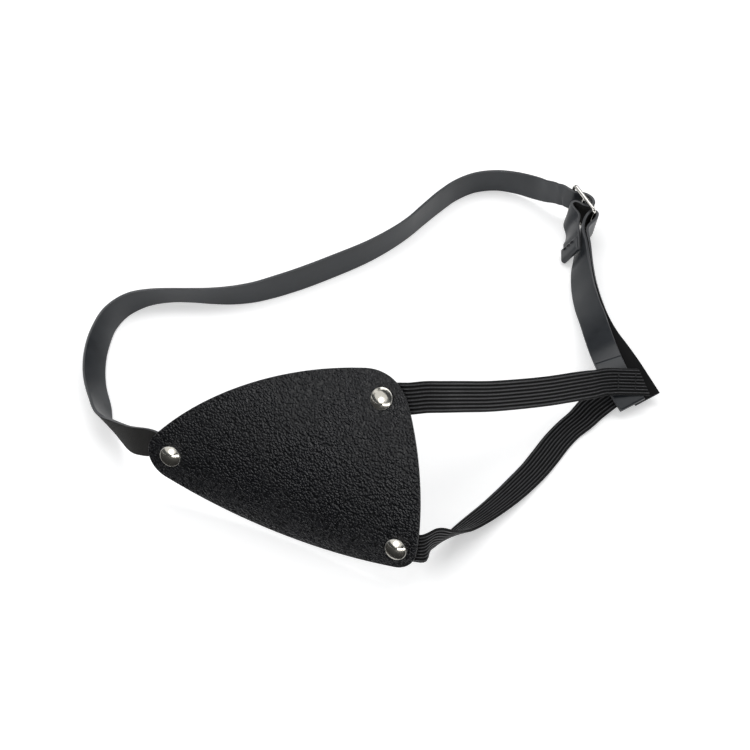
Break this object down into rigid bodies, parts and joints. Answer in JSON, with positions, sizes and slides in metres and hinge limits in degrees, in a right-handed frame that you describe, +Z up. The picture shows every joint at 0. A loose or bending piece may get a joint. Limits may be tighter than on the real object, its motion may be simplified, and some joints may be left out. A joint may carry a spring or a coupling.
{
  "type": "eye patch",
  "caption": "Leather eye patch with a riveted strap, a three-bar slider and two ribbed elastics, lying as an open loop.",
  "frame": {"origin": "on the table under the middle of the whole object", "axes": "+Z up from the table the band stands on edge on; +X from the riveted strap's side to the elastics' side; +Y from the panel to the back of the head"},
  "size_m": [0.2022, 0.2091, 0.0601],
  "materials": {
    "pebbled_leather": "pebbled, satin",
    "strap_leather": "smooth, satin",
    "elastic": "ribbed, matte",
    "rivet_metal": "polished nickel",
    "slider_metal": "polished nickel",
    "thread": "matte"
  },
  "bodies": {
    "band": {"patch_panel": "pebbled_leather", "rivet_cap_left": "rivet_metal", "rivet_back_left": "rivet_metal", "rivet_cap_upper": "rivet_metal", "rivet_back_upper": "rivet_metal", "rivet_cap_lower": "rivet_metal", "rivet_back_lower": "rivet_metal", "left_strap": "strap_leather", "loop_strap": "strap_leather", "upper_elastic": "elastic", "lower_elastic": "elastic", "joint_stitching": "thread"},
    "left_end": {"left_strap_end": "strap_leather"},
    "upper_end": {"upper_elastic_end": "elastic"},
    "lower_end": {"lower_elastic_end": "elastic"},
    "slider": {"slider_frame": "slider_metal", "strap_weave": "strap_leather"},
    "tail": {"tail_end": "strap_leather", "tail_stitching": "thread"}
  },
  "joints": [
    {"name": "left_swivel", "type": "hinge", "parent": "band", "child": "left_end", "pos_m": [-0.06461, -0.06297, 0.01633], "axis": [-0.443, -0.8671, 0.2275], "range_deg": [-10, 10]},
    {"name": "upper_swivel", "type": "hinge", "parent": "band", "child": "upper_end", "pos_m": [0.00425, -0.07614, 0.05396], "axis": [-0.3258, -0.7063, 0.6285], "range_deg": [-10, 10]},
    {"name": "lower_swivel", "type": "hinge", "parent": "band", "child": "lower_end", "pos_m": [0.00877, -0.10126, 0.01312], "axis": [-0.4387, -0.8626, 0.252], "range_deg": [-10, 10]},
    {"name": "slider_turn", "type": "hinge", "parent": "band", "child": "slider", "pos_m": [0.08475, 0.0743, 0.00729], "axis": [0.121, -0.2095, 0.9703], "range_deg": [-20, 0]},
    {"name": "tail_slide", "type": "slide", "parent": "slider", "child": "tail", "axis": [-0.4512, -0.8924, 0], "range_m": [0, 0.015]}
  ]
}
